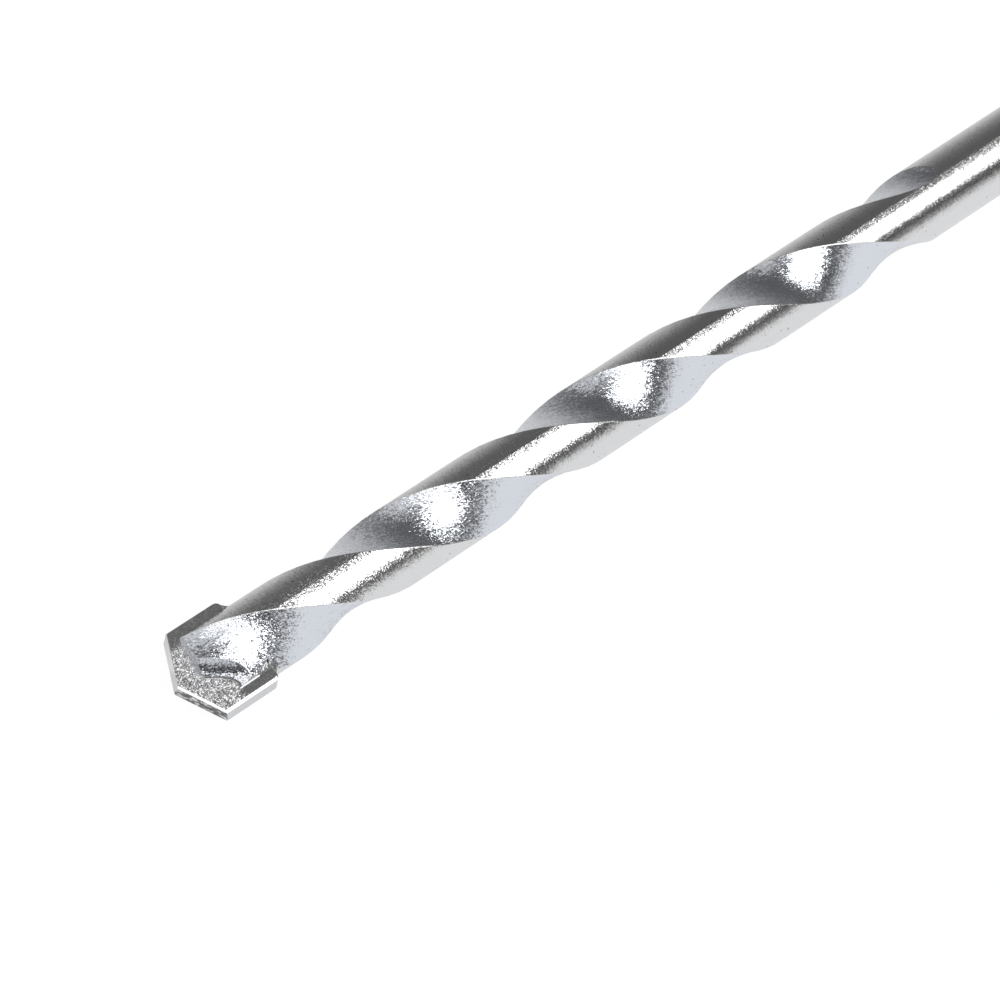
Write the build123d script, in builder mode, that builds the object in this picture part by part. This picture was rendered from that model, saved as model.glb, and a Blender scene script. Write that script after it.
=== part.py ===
"""Masonry drill bit, 6 x 100 mm, lying on its side.

The bit points towards -X and its shank towards +X. It lies on z = 0, so its
axis runs along X at the height of the body's radius. The carbide plate lies
flat, with its width along Y. All sizes are in millimetres and degrees.
"""
import os
from math import radians, sqrt, tan

from build123d import *

# Whole bit. The fluted body has a slight back taper down to the plain shank.
overall_length = 100.0
shank_diameter = 4.8
body_back_taper = 0.03
shank_end_chamfer = 0.5

# Two right-hand flutes, cut at full depth and then let out to the shank
helix_pitch = 29.0
web_thickness = 3.32
flute_floor_radius = 14.0
full_depth_length = 53.5
runout_radius = 25.0
flute_facing_at_tip = 57.0
flute_section_turn = 20.0
shank_lead_in = 0.4

# Carbide plate, brazed across the end
plate_width = 6.0
plate_thickness = 1.5
plate_length = 5.1
point_angle = 130.0
relief_angle = 7.0
edge_bevel_across = 0.21
edge_bevel_down = 0.11
plate_corner_radius = 0.35
braze_gap = 0.1
braze_fillet_size = 0.4
braze_fillet_height = 1.3

# Steel end round the plate
steel_setback = 1.25
steel_end_angle = 150.0

# Gashes that clear the plate's two rake faces, cut by a wheel with a large
# corner radius and let out gently towards the flute
gash_crossing = 2.35
gash_angle = 36.0
gash_floor_length = 0.5
gash_runout_radius = 7.0
gash_runout_angle = 42.0
gash_side_radius = 1.5

# Worked out from the sizes above
shank_radius = shank_diameter / 2
body_radius = shank_radius + body_back_taper / 2
tip_x = -overall_length / 2
shank_x = overall_length / 2
plate_back_x = tip_x + plate_length
slot_width = plate_thickness + 2 * braze_gap
slot_back_x = plate_back_x + braze_gap
steel_tip_x = tip_x + steel_setback
steel_rim_x = steel_tip_x + body_radius / tan(radians(steel_end_angle / 2))
full_depth_x = tip_x + full_depth_length
flute_depth = shank_radius - web_thickness / 2
runout_length = sqrt(2 * runout_radius * flute_depth)
shank_start_x = full_depth_x + runout_length + shank_lead_in
axis_point = Vector(0, 0, body_radius)
drill_axis = Axis(axis_point, (1, 0, 0))
side_plane = Plane(origin=axis_point, x_dir=(1, 0, 0), z_dir=(0, -1, 0))


def cross_section(x, facing):
    """Plane across the bit at x, with its own y axis turned from +Y towards +Z."""
    plane = Plane(origin=(x, 0, body_radius), x_dir=(0, 1, 0), z_dir=(1, 0, 0))
    return plane.rotated((facing - 90, 0, 0))


def flute_facing(x):
    """Direction that the near flute faces at x, turning with the helix."""
    return flute_facing_at_tip + 360 * (x - tip_x) / helix_pitch


def flute_lift(x):
    """How far the disc cutter has risen from full depth at x."""
    return max(0.0, x - full_depth_x) ** 2 / (2 * runout_radius)


# The cutter of one flute is a loft through turned sections. Its floor is
# slightly crowned, and its other three sides stay outside the body.
section_step = helix_pitch * flute_section_turn / 360
first_section_x = tip_x - section_step
section_count = int((full_depth_x + 1.2 * runout_length - first_section_x) / section_step) + 2
with BuildPart() as flute_cutter:
    for index in range(section_count):
        x = first_section_x + index * section_step
        floor = web_thickness / 2 + flute_lift(x)
        half_width = body_radius
        edge_drop = flute_floor_radius - sqrt(flute_floor_radius**2 - half_width**2)
        top = floor + body_radius
        with BuildSketch(cross_section(x, flute_facing(x))):
            with BuildLine():
                ThreePointArc((-half_width, floor - edge_drop), (0, floor), (half_width, floor - edge_drop))
                Polyline((half_width, floor - edge_drop), (half_width, top),
                         (-half_width, top), (-half_width, floor - edge_drop))
            make_face()
    loft()

# The side of a gash runs askew across the end, and its floor is level with
# the plate's rake face until it curves up out of the steel.
gash_side = Plane(
    origin=(tip_x + gash_crossing, 0, body_radius),
    x_dir=Vector(1, 0, 0).rotate(Axis.Z, -gash_angle),
    z_dir=Vector(0, -1, 0).rotate(Axis.Z, -gash_angle),
)
gash_floor = plate_thickness / 2
gash_reach = 2 * shank_diameter
with BuildPart() as gash_cutter:
    with BuildSketch(gash_side):
        with BuildLine():
            runout = CenterArc((gash_floor_length, gash_floor + gash_runout_radius),
                               gash_runout_radius, 270, gash_runout_angle)
            runout_end = runout @ 1
            Polyline(runout_end, (runout_end.X, gash_reach), (-gash_reach, gash_reach),
                     (-gash_reach, gash_floor), (gash_floor_length, gash_floor))
        make_face()
    extrude(amount=gash_reach)
    side_face = gash_cutter.faces().filter_by(gash_side).sort_by(Axis(gash_side.origin, gash_side.z_dir))[0]
    fillet(side_face.edges().sort_by(Axis.Z)[0:2], radius=gash_side_radius)

# Steel blank: a round bar with a shallow cone at the tip and a chamfered end
with BuildPart() as fluted_bar:
    with BuildSketch(side_plane):
        with BuildLine():
            Polyline((steel_tip_x, 0), (steel_rim_x, body_radius), (shank_start_x, shank_radius),
                     (shank_x - shank_end_chamfer, shank_radius),
                     (shank_x, shank_radius - shank_end_chamfer), (shank_x, 0), close=True)
        make_face()
    revolve(axis=drill_axis)
    for facing in (0, 180):
        add(flute_cutter.part.rotate(drill_axis, facing), mode=Mode.SUBTRACT)
        add(gash_cutter.part.rotate(drill_axis, facing), mode=Mode.SUBTRACT)

with BuildPart() as steel_body:
    add(fluted_bar.part)
    with BuildSketch(side_plane):
        with Locations(((first_section_x + slot_back_x) / 2, 0)):
            Rectangle(slot_back_x - first_section_x, slot_width)
    extrude(amount=shank_diameter, both=True, mode=Mode.SUBTRACT)

# Carbide plate: each half of its roof slopes back from its cutting edge
point_slope = 1 / tan(radians(point_angle / 2))
relief_slope = tan(radians(relief_angle))
with BuildPart() as carbide_tip:
    with BuildSketch(side_plane):
        with Locations(((tip_x + plate_back_x) / 2, 0)):
            Rectangle(plate_length, plate_thickness)
    extrude(amount=plate_width / 2, both=True)
    back_corners = carbide_tip.edges().filter_by(Axis.Z).group_by(Axis.X)[-1]
    fillet(back_corners, radius=plate_corner_radius)
    for side in (1, -1):
        flank = Plane(origin=(tip_x, 0, body_radius), z_dir=(1, -side * point_slope, -side * relief_slope))
        split(bisect_by=flank, keep=Keep.TOP)
    for side in (1, -1):
        rake_face = carbide_tip.faces().filter_by(Axis.Z).sort_by(Axis.Z)[-1 if side == 1 else 0]
        cutting_half = rake_face.edges().filter_by(lambda edge: side * edge.center().Y < 0)
        cutting_edges = cutting_half.filter_by(GeomType.LINE).sort_by(Axis.X)[:2]
        chamfer(cutting_edges, length=edge_bevel_down, length2=edge_bevel_across, reference=rake_face)

# Braze fills the gap between the plate and the slot, and a small fillet of
# it is left in each corner behind the plate's wings
slot_faces = steel_body.faces().filter_by(GeomType.PLANE)
slot_walls = [face for face in slot_faces.filter_by(Axis.Z)
              if abs(abs(face.center().Z - body_radius) - slot_width / 2) < braze_gap / 8]
slot_floor = [face for face in slot_faces.filter_by(Axis.X) if abs(face.center().X - slot_back_x) < braze_gap / 8]
wing_flat_y = plate_width / 2 - plate_corner_radius
with BuildPart() as braze_joint:
    for face in slot_walls + slot_floor:
        extrude(face, amount=braze_gap)
    for side in (1, -1):
        with BuildSketch(Plane(origin=(plate_back_x, 0, body_radius))):
            with BuildLine():
                inner_y = side * (shank_radius - braze_gap)
                outer_y = side * wing_flat_y
                ThreePointArc((0, outer_y), (0.3 * braze_fillet_size, 0.35 * inner_y + 0.65 * outer_y - side * 0.05),
                              (braze_fillet_size, inner_y))
                Polyline((braze_fillet_size, inner_y), (braze_fillet_size, 0.9 * inner_y),
                         (0, 0.9 * inner_y), (0, outer_y))
            make_face()
        extrude(amount=braze_fillet_height / 2, both=True)
    add(steel_body.part, mode=Mode.SUBTRACT)

os.makedirs("parts", exist_ok=True)
steel_body.part.label = "steel_body"
carbide_tip.part.label = "carbide_tip"
braze_joint.part.label = "braze_joint"
export_step(steel_body.part, "parts/steel_body.step")
export_step(carbide_tip.part, "parts/carbide_tip.step")
export_step(braze_joint.part, "parts/braze_joint.step")
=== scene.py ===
# %% [markdown]
# # Masonry drill bit, 6 by 100 mm
# This is a bit for a hammer drill. A plated steel bar has two twisted flutes that carry the dust out,
# and a plate of sintered carbide, wider than the bar, is brazed across its end to crush brick and stone.
# The solids come from the CAD model. This lesson gives them their surfaces, and then sets up the camera
# and the small studio that the bright metal mirrors. A mirror has hardly any colour of its own, so most
# of the work lies in what stands round the bit, and in how finely its surface is roughened.

# %% [markdown]
# ## Load the solids
# The box round a solid is measured by part_box, before anything is added. Blender works in metres and a
# drill bit is thought of in millimetres, so one factor, MM, turns one into the other.

# %% Load the solids
import math

import bmesh
import bpy
from mathutils import Matrix, Vector


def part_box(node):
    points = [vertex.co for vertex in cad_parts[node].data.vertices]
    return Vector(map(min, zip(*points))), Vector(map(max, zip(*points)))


MM = 0.001
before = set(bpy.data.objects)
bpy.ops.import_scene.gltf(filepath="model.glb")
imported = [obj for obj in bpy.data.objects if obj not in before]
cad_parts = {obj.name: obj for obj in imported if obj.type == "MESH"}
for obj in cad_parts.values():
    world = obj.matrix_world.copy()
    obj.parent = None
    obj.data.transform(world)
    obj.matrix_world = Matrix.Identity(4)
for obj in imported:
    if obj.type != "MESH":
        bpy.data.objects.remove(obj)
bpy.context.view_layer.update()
print("Solids:", list(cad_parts))

# %% [markdown]
# ## Sizes that the finishes share
# The marks of the flute cutter follow the twist of the flutes, and the lands between the flutes lie on a
# circle round the bit's axis. So the finishes need the axis, that circle and the twist, which takes 29 mm
# for one full turn. Axis and circle could be typed in, but they are measured on the solid, so that they
# can't drift from it.

# %% Sizes that the finishes share
helix_pitch_mm = 29.0
steel_low, steel_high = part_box("steel_body")
axis_height_mm = (steel_low.z + steel_high.z) / 2 / MM
body_radius_mm = (steel_high.z - steel_low.z) / 2 / MM
print("The axis lies", round(axis_height_mm, 3), "mm up")
print("The body's radius is", round(body_radius_mm, 3), "mm")

# %% [markdown]
# ## Camera
# The photograph was taken with a long lens from above the tip, with the bit rising to the right. A camera
# could be placed by eye, but here its place was found by matching three things: the outline of the plate,
# the places where the flutes cross the silhouette, and the way the bar gets narrower with distance. A
# camera looks along its own -Z, so it is first pointed at its target and then rolled about that line.
# Depth of field stays off, so the whole bit is sharp from one end to the other.

# %% Camera
camera_place = Vector((-95.05, -57.04, 156.02)) * MM
camera_target = Vector((-27.19, -1.13, 2.41)) * MM
camera_roll = math.radians(13.107)

camera_data = bpy.data.cameras.new("camera")
camera_data.lens = 107.53
camera_data.sensor_width = 36.0
camera_data.clip_start = 1 * MM
camera_data.clip_end = 10.0
camera = bpy.data.objects.new("camera", camera_data)
bpy.context.scene.collection.objects.link(camera)
bpy.context.scene.camera = camera

pointed = (camera_target - camera_place).to_track_quat("-Z", "Y").to_matrix().to_4x4()
camera.matrix_world = Matrix.Translation(camera_place) @ pointed @ Matrix.Rotation(camera_roll, 4, "Z")
print("The camera stands", round((camera_target - camera_place).length / MM), "mm from its target")

# %% [markdown]
# ## Helpers for materials
# Three small helpers keep the rest short. The first turns a colour as it is seen on the screen into the
# linear values that the renderer adds up. The second adds a node, sets it and links it in one go. The
# third makes an empty material. Wiring each node by hand would show the same steps, but five times over.


# %% Helpers for materials
def linear(hex_colour):
    """A screen colour such as #8A8A8A as linear red, green, blue and alpha."""
    channels = [int(hex_colour[i : i + 2], 16) / 255 for i in (1, 3, 5)]
    return [c / 12.92 if c <= 0.04045 else ((c + 0.055) / 1.055) ** 2.4 for c in channels] + [1.0]


def add_node(tree, kind, settings=None, inputs=None):
    """Add a node, give it its settings, and fill or link its inputs."""
    node = tree.nodes.new(kind)
    for name, value in (settings or {}).items():
        setattr(node, name, value)
    for name, value in (inputs or {}).items():
        if isinstance(value, bpy.types.NodeSocket):
            tree.links.new(value, node.inputs[name])
        else:
            node.inputs[name].default_value = value
    return node


def new_material(name):
    """An empty material and its node tree."""
    material = bpy.data.materials.new(name)
    material.use_nodes = True
    material.node_tree.nodes.clear()
    return material, material.node_tree


print("Middle grey #808080 is", round(linear("#808080")[0], 3), "of white in linear light")

# %% [markdown]
# ## Where a point lies on the bit
# Every pattern below is made from the object's own coordinates, so it stays fixed on the metal when the
# camera or the lamps move. The coordinates are turned to millimetres and counted from the bit's axis.
# Grain sizes can then be written as they would be measured under a microscope.


# %% Where a point lies on the bit
def position_mm(tree):
    """Object coordinates in mm, counted from the bit's axis."""
    place = add_node(tree, "ShaderNodeTexCoord")
    from_axis = add_node(tree, "ShaderNodeVectorMath", {"operation": "MULTIPLY_ADD"},
                         {0: place.outputs["Object"], 1: (1 / MM, 1 / MM, 1 / MM),
                          2: (0.0, 0.0, -axis_height_mm)})
    return from_axis.outputs[0]


print("1 mm along the bit is", round(1 / helix_pitch_mm, 4), "of a turn of the flutes")

# %% [markdown]
# ## What makes plated metal sparkle
# The plating is thin and bright, but the steel under it was left rough. Each grain of a few hundredths
# of a millimetre is a small mirror that leans its own way, so the edge of every highlight breaks up into
# sparkling dots. Roughness alone would blur the edge evenly. A bump map would do it, but it makes a steep
# rim round each grain. Here a random lean is added to the direction in which the surface faces, and every
# grain stays a clean mirror. Voronoi cells give flat grains with sharp borders, and smooth noise gives
# soft dents. The Bevel node rounds sharp edges for the light only, as a worn edge catches it, and the
# mesh is left alone.


# %% Leaning grains
edge_samples = 4


def lean(tree, vector_mm, grain_mm, amount, cells=True, along_bit=1.0, share=1.0):
    """A random lean for each grain, as a vector to add to the surface's direction.

    The amount holds across the bit, and along_bit is the part of it that holds along the bit. The share
    can be a number or a mask, and says how much of the lean is left at each point.
    """
    kind = "ShaderNodeTexVoronoi" if cells else "ShaderNodeTexNoise"
    pattern = add_node(tree, kind, None, {"Vector": vector_mm, "Scale": 1 / grain_mm})
    centred = add_node(tree, "ShaderNodeVectorMath", {"operation": "SUBTRACT"},
                       {0: pattern.outputs["Color"], 1: (0.5, 0.5, 0.5)})
    leaning = add_node(tree, "ShaderNodeVectorMath", {"operation": "MULTIPLY"},
                       {0: centred.outputs[0], 1: (amount * along_bit, amount, amount)})
    masked = add_node(tree, "ShaderNodeVectorMath", {"operation": "SCALE"},
                      {0: leaning.outputs[0], "Scale": share})
    return masked.outputs[0]


def leaning_direction(tree, leans, edge_radius_mm):
    """The surface's direction with softened edges, and all the leans added to it."""
    edges = add_node(tree, "ShaderNodeBevel", {"samples": edge_samples}, {"Radius": edge_radius_mm * MM})
    direction = edges.outputs[0]
    for one_lean in leans:
        direction = add_node(tree, "ShaderNodeVectorMath", {"operation": "ADD"},
                             {0: direction, 1: one_lean}).outputs[0]
    return add_node(tree, "ShaderNodeVectorMath", {"operation": "NORMALIZE"}, {0: direction}).outputs[0]


def finish_metal(tree, colour, roughness, direction):
    """Close the tree with a metal surface. A metal keeps the default index of refraction."""
    metal = add_node(tree, "ShaderNodeBsdfPrincipled", None,
                     {"Base Color": colour, "Metallic": 1.0, "Roughness": roughness, "Normal": direction})
    add_node(tree, "ShaderNodeOutputMaterial", None, {"Surface": metal.outputs[0]})


def largest_turn(amount):
    """How far a lean of this amount can turn a grain about one axis, in degrees."""
    return round(math.degrees(math.atan(amount / 2)), 1)


print("A lean of 1 turns a grain by up to", largest_turn(1), "degrees")

# %% [markdown]
# ## Lands, flutes and the blasted end
# A land lies on the body's circle and a flute or a gash lies inside it, so the distance from the axis
# tells them apart. The two ends of the bar lie inside it too, and get the finish of the flutes. The faces
# could be sorted by hand instead, but a mask needs no sorting and blends the border. The end round the
# plate was probably blasted clean after the brazing, so the grain is strongest there and fades to about
# half on the shank.

# %% Lands, flutes and the blasted end
land_ends_below_mm, flute_starts_below_mm = 0.03, 0.055
blasted_until_mm, faded_from_mm, shank_grain_share = -38.0, -8.0, 0.55


def flute_mask(tree, position):
    """1 in the flutes and gashes and on the bar's ends, 0 on the lands and round the shank."""
    across = add_node(tree, "ShaderNodeVectorMath", {"operation": "MULTIPLY"},
                      {0: position, 1: (0.0, 1.0, 1.0)})
    radius = add_node(tree, "ShaderNodeVectorMath", {"operation": "LENGTH"}, {0: across.outputs[0]})
    in_flute = add_node(tree, "ShaderNodeMapRange", None,
                        {"Value": radius.outputs["Value"],
                         "From Min": body_radius_mm - land_ends_below_mm,
                         "From Max": body_radius_mm - flute_starts_below_mm})
    return in_flute.outputs[0]


def blasted_share(tree, along):
    """1 at the blasted end, and what is left of the grain at the shank."""
    blasted = add_node(tree, "ShaderNodeMapRange", None,
                       {"Value": along.outputs["X"], "From Min": blasted_until_mm,
                        "From Max": faded_from_mm, "To Min": 1.0, "To Max": shank_grain_share})
    return blasted.outputs[0]


print("A point counts as flute from", flute_starts_below_mm, "mm below the body's circle")

# %% [markdown]
# ## Strokes along the flutes
# The cutter has left short strokes in the flutes, and they follow the twist. A texture unwrapped along
# the flute could do that, but it would need seams. Here the coordinates are turned back by the helix, so
# that a stroke along the flute becomes a stroke along X. Then they are squeezed along the bit, which
# stretches each grain to about twice its width. Real strokes are finer, and these are as coarse as they
# need to be to show.

# %% Strokes along the flutes
stroke_squeeze = 0.45


def flute_coordinates(tree, position, along):
    """The position with the twist turned back, squeezed along the bit."""
    turn_back = add_node(tree, "ShaderNodeMath", {"operation": "MULTIPLY"},
                         {0: along.outputs["X"], 1: -2 * math.pi / helix_pitch_mm})
    untwisted = add_node(tree, "ShaderNodeVectorRotate", {"rotation_type": "X_AXIS"},
                         {"Vector": position, "Angle": turn_back.outputs[0]})
    squeezed = add_node(tree, "ShaderNodeVectorMath", {"operation": "MULTIPLY"},
                        {0: untwisted.outputs[0], 1: (stroke_squeeze, 1.0, 1.0)})
    return squeezed.outputs[0]


print("A stroke is", round(1 / stroke_squeeze, 1), "times as long as it is wide")

# %% [markdown]
# ## Bright zinc plate on the steel
# The body is alloy steel with bright zinc plate on it, a near-white metal. The flutes are given a colour
# with a trace of blue, and the lands a neutral one.
# On the lands the plate lies over a rolled skin with grains of about 0.055 mm, a little coarser than the
# real ones, because one pixel of the photograph covers 0.06 mm. A few pits, 0.1 mm wide and about 0.5 mm
# apart, are where the plate didn't take.

# %% Plated steel
land_grain_mm, land_lean = 0.055, 0.22
fine_grain_mm, fine_lean = 0.03, 0.22
stroke_width_mm, stroke_lean = 0.05, 0.28
dent_width_mm, dent_lean = 0.22, 0.34
cutter_lean_along = 0.6
pit_spacing_mm, pit_width_mm, pit_dark_share = 0.55, 0.11, 0.6
land_edge_mm = 0.10
plate_colour, flute_colour, pit_colour = "#E4E4E4", "#E0E3E9", "#4A4A4C"


def plated_steel(name, roughness):
    material, tree = new_material(name)
    position = position_mm(tree)
    along = add_node(tree, "ShaderNodeSeparateXYZ", None, {0: position})
    in_flute = flute_mask(tree, position)
    blasted = blasted_share(tree, along)
    flute_share = add_node(tree, "ShaderNodeMath", {"operation": "MULTIPLY"},
                           {0: in_flute, 1: blasted}).outputs[0]

    # The land's grains and the fine ones lie under the strokes of the flutes too
    squeezed = flute_coordinates(tree, position, along)
    strokes = lean(tree, squeezed, stroke_width_mm, stroke_lean, along_bit=cutter_lean_along,
                   share=flute_share)
    dents = lean(tree, squeezed, dent_width_mm, dent_lean, cells=False, along_bit=cutter_lean_along,
                 share=flute_share)
    land_grains = lean(tree, position, land_grain_mm, land_lean, share=blasted)
    fine_grains = lean(tree, position, fine_grain_mm, fine_lean, cells=False, share=blasted)
    leans = [strokes, dents, land_grains, fine_grains]

    # The distance inside a Voronoi cell counts in cells, so the pit's radius is a share of the spacing
    pits = add_node(tree, "ShaderNodeTexVoronoi", None, {"Vector": position, "Scale": 1 / pit_spacing_mm})
    pit_radius = pit_width_mm / 2 / pit_spacing_mm
    in_pit = add_node(tree, "ShaderNodeMapRange", None,
                      {"Value": pits.outputs["Distance"], "From Min": pit_radius,
                       "From Max": pit_dark_share * pit_radius})

    # A Mix node has sockets of the same name for each kind of data, so they are given by number: 6 and 7
    # are its two colours, 2 and 3 its two numbers
    plate = add_node(tree, "ShaderNodeMix", {"data_type": "RGBA"},
                     {0: in_flute, 6: linear(plate_colour), 7: linear(flute_colour)})
    colour = add_node(tree, "ShaderNodeMix", {"data_type": "RGBA"},
                      {0: in_pit.outputs[0], 6: plate.outputs[2], 7: linear(pit_colour)})
    finish_metal(tree, colour.outputs[2], roughness, leaning_direction(tree, leans, land_edge_mm))
    return material


steel = plated_steel("bright_plated_steel", roughness=0.2)
print("A grain on the lands leans by up to", largest_turn(land_lean), "degrees")
print("A stroke is", stroke_width_mm, "mm wide, and a pit", pit_width_mm, "mm")

# %% [markdown]
# ## Where the plate was worked
# The carbide plate is split by where it was worked. On the rake side of each half the wheel and the
# plating bath have left a coarse sparkle. On the wing, beyond the axis, the pressed skin is smooth, so it
# mirrors the dark room and turns dark. The regions could be cut into the mesh as faces of their own, but
# the CAD mesh is left alone. So masks are made from where a point lies and which way its face looks. Top
# and bottom are alike when turned half a turn about the axis, so y times the direction's z tells the rake
# side from the wing on both.

# %% Where the plate was worked
rake_is_full_mm, rake_ends_mm = 1.7, 2.3
flat_starts_at, flat_is_full_at = 0.95, 0.99
wing_starts_mm, wing_is_full_mm = 2.0, 2.3
wing_ground_until_mm, wing_pressed_from_mm, pressed_share = -47.6, -46.9, 0.1


def rake_mask(tree, place, faces):
    """1 on the ground rake face of each half, 0 on the pressed skin and on the sides."""
    side = add_node(tree, "ShaderNodeMath", {"operation": "MULTIPLY"},
                    {0: place.outputs["Y"], 1: faces.outputs["Z"]})
    on_rake_side = add_node(tree, "ShaderNodeMapRange", None,
                            {"Value": side.outputs[0], "From Min": rake_ends_mm,
                             "From Max": rake_is_full_mm})
    upright = add_node(tree, "ShaderNodeMath", {"operation": "ABSOLUTE"}, {0: faces.outputs["Z"]})
    on_flat = add_node(tree, "ShaderNodeMapRange", None,
                       {"Value": upright.outputs[0], "From Min": flat_starts_at,
                        "From Max": flat_is_full_at})
    ground_half = add_node(tree, "ShaderNodeMath", {"operation": "MULTIPLY"},
                           {0: on_flat.outputs[0], 1: on_rake_side.outputs[0]})

    # The back corners of the plate, outside the steel, kept their pressed skin too
    from_axis = add_node(tree, "ShaderNodeMath", {"operation": "ABSOLUTE"}, {0: place.outputs["Y"]})
    outside = add_node(tree, "ShaderNodeMapRange", None,
                       {"Value": from_axis.outputs[0], "From Min": wing_starts_mm,
                        "From Max": wing_is_full_mm})
    not_behind = add_node(tree, "ShaderNodeMapRange", None,
                          {"Value": place.outputs["X"], "From Min": wing_pressed_from_mm,
                           "From Max": wing_ground_until_mm, "To Min": pressed_share})
    not_a_corner = add_node(tree, "ShaderNodeMix", {"data_type": "FLOAT"},
                            {0: outside.outputs[0], 2: 1.0, 3: not_behind.outputs[0]})
    on_rake = add_node(tree, "ShaderNodeMath", {"operation": "MULTIPLY"},
                       {0: ground_half.outputs[0], 1: not_a_corner.outputs[0]})
    return on_rake.outputs[0]


print("The rake side is fully ground up to", rake_is_full_mm, "mm beyond the axis")

# %% [markdown]
# ## Bevel along the cutting edges
# The real bevel is shallow and catches the light as a white line. The solid's bevel is steeper. Its faces
# are found by how much their direction rises, and that direction is lifted towards the top for the light
# alone. A wider bevel in the mesh would change the outline, and this doesn't.

# %% Bevel along the cutting edges
bevel_lift, bevel_rises_from, bevel_rises_to, bevel_blend = 1.8, 0.3, 0.6, 0.1


def bevel_lean(tree, faces):
    """A lift of the direction on the faces of the bevel."""
    above = add_node(tree, "ShaderNodeMapRange", None,
                     {"Value": faces.outputs["Z"], "From Min": bevel_rises_from - bevel_blend,
                      "From Max": bevel_rises_from})
    below = add_node(tree, "ShaderNodeMapRange", None,
                     {"Value": faces.outputs["Z"], "From Min": bevel_rises_to + bevel_blend,
                      "From Max": bevel_rises_to})
    on_bevel = add_node(tree, "ShaderNodeMath", {"operation": "MULTIPLY"},
                        {0: above.outputs[0], 1: below.outputs[0]})
    lifted = add_node(tree, "ShaderNodeVectorMath", {"operation": "SCALE"},
                      {0: (0.0, 0.0, bevel_lift), "Scale": on_bevel.outputs[0]})
    return lifted.outputs[0]


rise = math.degrees(math.asin(bevel_rises_from)), math.degrees(math.asin(bevel_rises_to))
print("The bevel's faces look up by", round(rise[0]), "to", round(rise[1]), "degrees")

# %% [markdown]
# ## Painted shade on the near flank
# The two flanks of the point were ground last. The near one mirrors the floor right under the tip, where
# the bit's shadow lies, so it shows dark streaks about 0.4 mm wide. These are painted into its colour as
# painted shade. Noise with a rough edge gives such patches.
# It is kept to the one flank by comparing the way a face looks with the way that flank looks.
# It is kept to the one flank by comparing the way a face looks with the way that flank looks.

# %% Painted shade on the near flank
near_flank_faces, flank_starts_at, flank_is_full_at = (-0.90, -0.42, -0.11), 0.93, 0.98
shade_patch_mm, shade_detail, shade_noise_roughness = 0.4, 4.0, 0.75
shade_starts_at, shade_is_full_at = 0.56, 0.50


def painted_shade_mask(tree, position, surface):
    """1 where painted shade, dark streaks for the shadow that the flank mirrors, lies on the near flank."""
    alike = add_node(tree, "ShaderNodeVectorMath", {"operation": "DOT_PRODUCT"},
                     {0: surface.outputs["True Normal"], 1: near_flank_faces})
    on_flank = add_node(tree, "ShaderNodeMapRange", None,
                        {"Value": alike.outputs["Value"], "From Min": flank_starts_at,
                         "From Max": flank_is_full_at})
    # Patches of noise give the painted shade, the dark that the flank mirrors from the shadow under the tip
    shade = add_node(tree, "ShaderNodeTexNoise", None,
                    {"Vector": position, "Scale": 1 / shade_patch_mm, "Detail": shade_detail,
                     "Roughness": shade_noise_roughness})
    shaded = add_node(tree, "ShaderNodeMapRange", None,
                     {"Value": shade.outputs[0], "From Min": shade_starts_at, "From Max": shade_is_full_at})
    painted_shade = add_node(tree, "ShaderNodeMath", {"operation": "MULTIPLY"},
                        {0: on_flank.outputs[0], 1: shaded.outputs[0]})
    return painted_shade.outputs[0]


print("The patches of dust are about", shade_patch_mm, "mm wide")

# %% [markdown]
# ## Ground carbide in the cutting plate
# The plate is tungsten carbide sintered with cobalt, a dark grey hard metal. After brazing it went through
# the plating bath with the bit, which left a thin bright film on it, a little darker than on the steel.
# The wheel's grit leaves grains of 0.035 mm on the rake faces, over soft patches of 0.3 mm, and both lean
# more than those of the steel. The pressed skin has weak grains of 0.07 mm. Real grinding marks are finer,
# and these are as coarse as they need to be to show.

# %% Ground carbide
rake_grain_mm, rake_lean = 0.035, 0.52
rake_patch_mm, rake_patch_lean = 0.30, 0.40
pressed_grain_mm, pressed_lean = 0.07, 0.08
plate_edge_mm = 0.05
# The second colour is painted shade for the near flank, which mirrors the shadow under the tip
carbide_colour, painted_shade_colour = "#D8D8D9", "#1F1E20"


def ground_carbide(name, roughness):
    material, tree = new_material(name)
    position = position_mm(tree)
    place = add_node(tree, "ShaderNodeSeparateXYZ", None, {0: position})
    surface = add_node(tree, "ShaderNodeNewGeometry")
    faces = add_node(tree, "ShaderNodeSeparateXYZ", None, {0: surface.outputs["True Normal"]})

    on_rake = rake_mask(tree, place, faces)
    grains = lean(tree, position, rake_grain_mm, rake_lean, share=on_rake)
    patches = lean(tree, position, rake_patch_mm, rake_patch_lean, cells=False, share=on_rake)
    skin = lean(tree, position, pressed_grain_mm, pressed_lean)
    leans = [grains, patches, skin, bevel_lean(tree, faces)]

    # The painted shade is mixed into the carbide's colour on the near flank
    colour = add_node(tree, "ShaderNodeMix", {"data_type": "RGBA"},
                      {0: painted_shade_mask(tree, position, surface), 6: linear(carbide_colour),
                       7: linear(painted_shade_colour)})
    finish_metal(tree, colour.outputs[2], roughness, leaning_direction(tree, leans, plate_edge_mm))
    return material


carbide = ground_carbide("ground_cemented_carbide", roughness=0.22)
print("A grain on the rake face leans by up to", largest_turn(rake_lean), "degrees")

# %% [markdown]
# ## Braze between plate and steel
# The joint is a thin seam of silver or brass braze, and the plating bath has covered it, so no yellow
# shows. It froze from the melt, so it is softly rippled in dents of about 0.12 mm, with no grain. Smooth
# noise does that, where Voronoi cells would look cut. It keeps a bright neutral colour and a slightly
# duller shine than the steel.

# %% Plated braze
ripple_mm, ripple_lean = 0.12, 0.5
seam_edge_mm = 0.03


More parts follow.
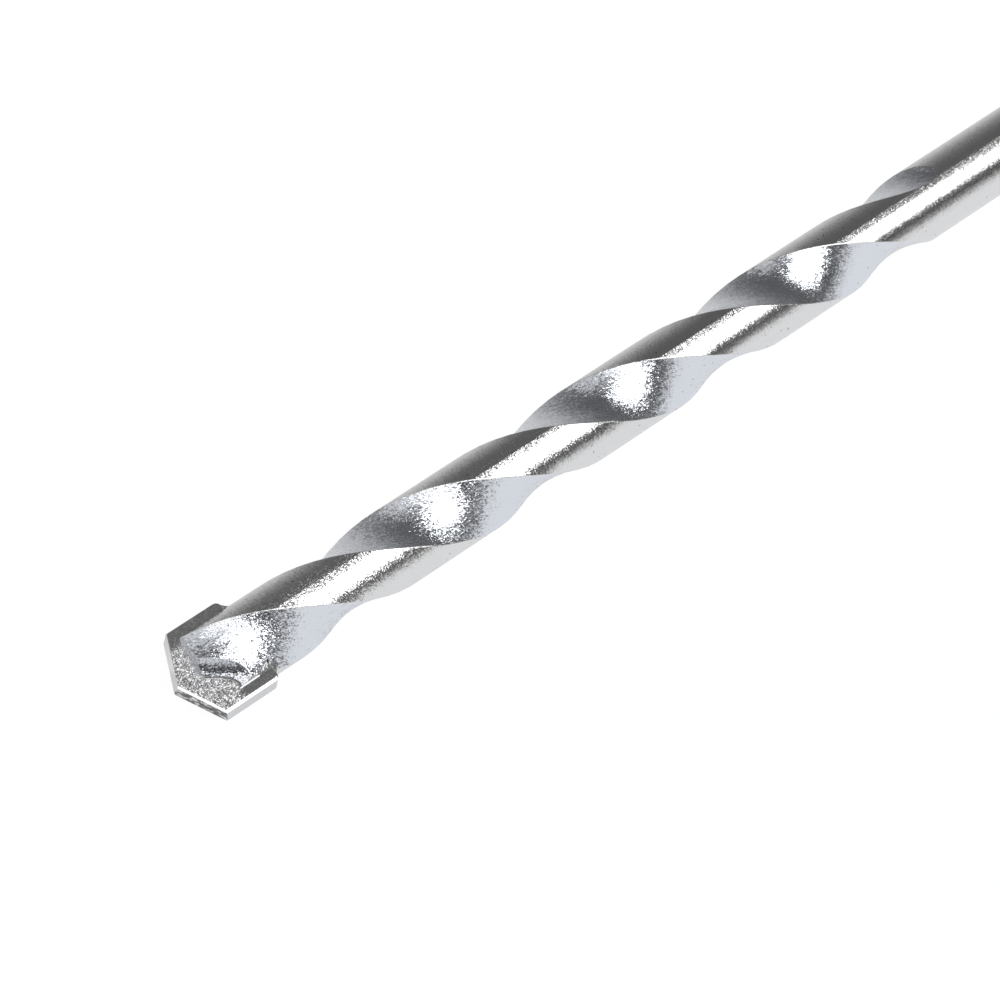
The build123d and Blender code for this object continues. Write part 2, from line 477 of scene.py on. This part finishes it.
def flowed_braze(name, colour, roughness):
    material, tree = new_material(name)
    ripples = lean(tree, position_mm(tree), ripple_mm, ripple_lean, cells=False)
    finish_metal(tree, linear(colour), roughness, leaning_direction(tree, [ripples], seam_edge_mm))
    return material


braze = flowed_braze("plated_braze", "#D6D6D6", roughness=0.25)
print("The ripples of the braze are", ripple_mm, "mm wide")

# %% [markdown]
# ## Give the solids their materials
# A slot is the place on a mesh that holds a material. Only the slots of the CAD solids are filled, and
# their meshes are used as they came.

# %% Give the solids their materials
for node, material in (("steel_body", steel), ("carbide_tip", carbide), ("braze_joint", braze)):
    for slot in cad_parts[node].material_slots:
        slot.material = material
    print(node, "is now", material.name)

# %% [markdown]
# ## Stage pieces
# The rest is the studio. Each stage piece is built in place with bmesh. Some of them are there only for
# the metal to mirror. Those are hidden from the camera, cast no shadow and give no light to the floor.


# %% Stage pieces
def stage_object(name, build, material):
    """Make a stage object in place from a function that fills a bmesh."""
    mesh = bpy.data.meshes.new(name)
    work = bmesh.new()
    build(work)
    work.to_mesh(mesh)
    work.free()
    mesh.materials.append(material)
    made = bpy.data.objects.new(name, mesh)
    bpy.context.scene.collection.objects.link(made)
    return made


def only_for_mirrors(made):
    """Hide a stage object from everything but reflections."""
    made.visible_camera = False
    made.visible_diffuse = False
    made.visible_shadow = False


print("The bit lies on the floor at z = 0, and its highest point is", round(steel_high.z / MM, 2), "mm up")

# %% [markdown]
# ## White floor
# In the photograph the bit lies on white paper, blown out to pure white. The floor is mostly a plain
# glow where the camera sees it, with a tenth of real paper mixed in, so that a trace of the bit's shadow
# is kept. In the metal the paper shows as a light grey, because a shadow falls close to the bit. So for
# mirrored rays the share of glow is lower and the share of real, shaded paper is higher. More light would
# whiten the floor too, but it would also wash out the metal.

# %% White floor
paper_colour = "#E2E4E8"
floor_glow = 1.06
glow_seen_by_camera, glow_seen_in_metal = 0.9, 0.45
floor_half_width = 0.6

floor_material, tree = new_material("white_paper")
rays = add_node(tree, "ShaderNodeLightPath")
paper = add_node(tree, "ShaderNodeBsdfDiffuse", None, {"Color": linear(paper_colour)})
glow = add_node(tree, "ShaderNodeEmission", None, {"Color": linear("#FFFFFF"), "Strength": floor_glow})
direct = add_node(tree, "ShaderNodeMath", {"operation": "MULTIPLY"},
                  {0: rays.outputs["Is Camera Ray"], 1: glow_seen_by_camera})
mirrored = add_node(tree, "ShaderNodeMath", {"operation": "MAXIMUM"},
                    {0: rays.outputs["Is Glossy Ray"], 1: rays.outputs["Is Transmission Ray"]})
share = add_node(tree, "ShaderNodeMath", {"operation": "MULTIPLY_ADD"},
                 {0: mirrored.outputs[0], 1: glow_seen_in_metal, 2: direct.outputs[0]})
mixed = add_node(tree, "ShaderNodeMixShader", None,
                 {0: share.outputs[0], 1: paper.outputs[0], 2: glow.outputs[0]})
add_node(tree, "ShaderNodeOutputMaterial", None, {"Surface": mixed.outputs[0]})


def build_floor(work):
    bmesh.ops.create_grid(work, size=floor_half_width)


floor = stage_object("floor", build_floor, floor_material)
print("The floor is", round(floor.dimensions.x, 2), "m wide")

# %% [markdown]
# ## Painted shadow card behind the bit
# The upper silhouette of the bit isn't lost in the white floor. It is darker than the lower one, with a
# light rim that fades inwards. That side mirrors the floor behind the bit, which lies in the bit's shadow.
# The card stands for that shadow as a grey glow that only the metal sees: a painted shadow. It could be
# part of the floor's colour, but as a card of its own it can be moved. It lies from 2.5 mm behind the axis
# outwards, and glows brightest at its near edge, as paper does next to a lit object. The glow is 0.35 plus
# 3.2 over the distance from the axis plus 3.2, all in mm, so it falls fast at first and then hardly at all.

# %% Painted shadow card behind the bit
card_near_mm, card_far_mm, card_half_width_mm = 2.5, 600.0, 600.0
card_above_floor_mm = 0.02
card_far_glow, card_fade_mm = 0.35, 3.2

# The painted shadow of the floor behind the bit, as the metal sees it: grey, and lighter next to the bit
card_material, tree = new_material("grey_card")
place = add_node(tree, "ShaderNodeTexCoord")
parts = add_node(tree, "ShaderNodeSeparateXYZ", None, {0: place.outputs["Object"]})
distance = add_node(tree, "ShaderNodeMath", {"operation": "MULTIPLY_ADD"},
                    {0: parts.outputs["Y"], 1: 1 / MM, 2: card_fade_mm})
fall = add_node(tree, "ShaderNodeMath", {"operation": "DIVIDE"}, {0: card_fade_mm, 1: distance.outputs[0]})
level = add_node(tree, "ShaderNodeMath", {"operation": "ADD"}, {0: fall.outputs[0], 1: card_far_glow})
card_glow = add_node(tree, "ShaderNodeEmission", None,
                     {"Color": linear("#FFFFFF"), "Strength": level.outputs[0]})
add_node(tree, "ShaderNodeOutputMaterial", None, {"Surface": card_glow.outputs[0]})


def build_card(work):
    middle = (card_near_mm + card_far_mm) / 2 * MM
    half_depth = (card_far_mm - card_near_mm) / 2 * MM
    card_place = (Matrix.Translation((0, middle, card_above_floor_mm * MM))
                  @ Matrix.Diagonal((card_half_width_mm * MM, half_depth, 1, 1)))
    bmesh.ops.create_grid(work, size=1, matrix=card_place)


card = stage_object("grey_card", build_card, card_material)
only_for_mirrors(card)
near_glow = card_far_glow + card_fade_mm / (card_near_mm + card_fade_mm)
print("The card glows", round(near_glow, 2), "at its near edge and", card_far_glow, "far away")

# %% [markdown]
# ## Studio walls and ceiling
# The dark bands on the metal are the unlit room. Each point of a round bar mirrors one direction, so the
# bar is a chart of the room, and its greys were set against the bands. A large dome holds them. A
# colour ramp follows the height of the direction, one for the side of the camera and one for the far
# side. Heights run from 0 at the floor's level to 1 straight up. On the ceiling a soft light patch hangs
# beyond the tip. An image would give more detail, but two ramps and a patch are easy to change.

# %% Studio walls and ceiling
near_wall = ((0.0, 0.85), (0.1, 0.7), (0.2, 0.44), (0.32, 0.16), (0.43, 0.045), (0.6, 0.045))
far_wall = ((0.0, 0.36), (0.09, 0.31), (0.26, 0.22), (0.42, 0.16), (0.57, 0.12), (0.77, 0.10))
patch_azimuth, patch_elevation = 178, 67
patch_full_within, patch_ends_at = 9, 23
patch_level = 1.6
dome_radius = 0.9
wall_blend = 0.35


def direction_of(azimuth, elevation):
    """The unit vector towards an azimuth and elevation in degrees."""
    a, e = math.radians(azimuth), math.radians(elevation)
    return Vector((math.cos(a) * math.cos(e), math.sin(a) * math.cos(e), math.sin(e)))


walls_material, tree = new_material("studio_walls")
place = add_node(tree, "ShaderNodeTexCoord")
direction = add_node(tree, "ShaderNodeVectorMath", {"operation": "NORMALIZE"}, {0: place.outputs["Object"]})
parts = add_node(tree, "ShaderNodeSeparateXYZ", None, {0: direction.outputs[0]})
ramps = []
# A new ramp has two stops, so these are moved first and the others are added
for wall in (near_wall, far_wall):
    ramp = add_node(tree, "ShaderNodeValToRGB", None, {0: parts.outputs["Z"]})
    for count, (height, grey) in enumerate(wall):
        stop = ramp.color_ramp.elements[count] if count < 2 else ramp.color_ramp.elements.new(height)
        stop.position = height
        stop.color = (grey, grey, grey, 1.0)
    ramps.append(ramp.outputs[0])
far_side = add_node(tree, "ShaderNodeMapRange", None,
                    {"Value": parts.outputs["Y"], "From Min": -wall_blend, "From Max": wall_blend})
room = add_node(tree, "ShaderNodeMix", {"data_type": "RGBA"},
                {0: far_side.outputs[0], 6: ramps[0], 7: ramps[1]})
closeness = add_node(tree, "ShaderNodeVectorMath", {"operation": "DOT_PRODUCT"},
                     {0: direction.outputs[0], 1: direction_of(patch_azimuth, patch_elevation)})
in_patch = add_node(tree, "ShaderNodeMapRange", {"interpolation_type": "SMOOTHSTEP"},
                    {"Value": closeness.outputs["Value"], "From Min": math.cos(math.radians(patch_ends_at)),
                     "From Max": math.cos(math.radians(patch_full_within))})
patch_light = (patch_level, patch_level, patch_level, 1.0)
lit_room = add_node(tree, "ShaderNodeMix", {"data_type": "RGBA"},
                    {0: in_patch.outputs[0], 6: room.outputs[2], 7: patch_light})
wall_glow = add_node(tree, "ShaderNodeEmission", None, {"Color": lit_room.outputs[2], "Strength": 1.0})
add_node(tree, "ShaderNodeOutputMaterial", None, {"Surface": wall_glow.outputs[0]})


def build_walls(work):
    bmesh.ops.create_uvsphere(work, u_segments=48, v_segments=24, radius=dome_radius)


walls = stage_object("studio_walls", build_walls, walls_material)
only_for_mirrors(walls)
print("The walls go from", near_wall[0][1], "at the floor to", near_wall[-1][1], "of white overhead")

# %% [markdown]
# ## Lamps
# The white band along the lands is the mirror image of one big softbox, high on the camera's side. It was
# sized and turned until its edges fell where that band ends on the shank. Its strength is given as the
# brightness of its face, since that is what the metal mirrors, and the lamp's power is worked out from
# that and its area. A second, much weaker panel on the far side lifts the left ends of the flutes.


# %% Lamps
lamp_centre = Vector((-27, 0, 2)) * MM


def panel_lamp(name, azimuth, elevation, distance, width, height, brightness):
    """A rectangular lamp that faces the flutes, with its face's brightness given (1 is white)."""
    towards = direction_of(azimuth, elevation)
    data = bpy.data.lights.new(name, "AREA")
    data.shape = "RECTANGLE"
    data.size = width
    data.size_y = height
    data.energy = brightness * math.pi * width * height
    made = bpy.data.objects.new(name, data)
    bpy.context.scene.collection.objects.link(made)
    made.matrix_world = (Matrix.Translation(lamp_centre + towards * distance)
                         @ (-towards).to_track_quat("-Z", "Y").to_matrix().to_4x4())
    made.visible_camera = False
    print(name, "has a power of", round(data.energy, 2), "W")


panel_lamp("softbox", azimuth=-55, elevation=62, distance=0.6, width=0.60, height=0.43, brightness=3.0)
panel_lamp("fill_panel", azimuth=122, elevation=50, distance=0.6, width=0.55, height=0.55, brightness=0.6)

# %% [markdown]
# ## Background
# Beyond the floor's edge the background is white where it is seen, straight or in a mirror, and about a
# third of that as light, so that it fills the shadows a little. The view transform is Standard, which
# keeps white white.

# %% Background
fill_strength = 0.35

world = bpy.data.worlds.new("world")
bpy.context.scene.world = world
world.use_nodes = True
tree = world.node_tree
tree.nodes.clear()
rays = add_node(tree, "ShaderNodeLightPath")
mirrored = add_node(tree, "ShaderNodeMath", {"operation": "MAXIMUM"},
                    {0: rays.outputs["Is Glossy Ray"], 1: rays.outputs["Is Transmission Ray"]})
seen = add_node(tree, "ShaderNodeMath", {"operation": "MAXIMUM"},
                {0: rays.outputs["Is Camera Ray"], 1: mirrored.outputs[0]})
strength = add_node(tree, "ShaderNodeMapRange", None,
                    {"Value": seen.outputs[0], "To Min": fill_strength, "To Max": 1.0})
sky = add_node(tree, "ShaderNodeBackground", None,
               {"Color": linear("#FFFFFF"), "Strength": strength.outputs[0]})
add_node(tree, "ShaderNodeOutputWorld", None, {"Surface": sky.outputs[0]})
bpy.context.scene.view_settings.view_transform = "Standard"
print("View transform:", bpy.context.scene.view_settings.view_transform)
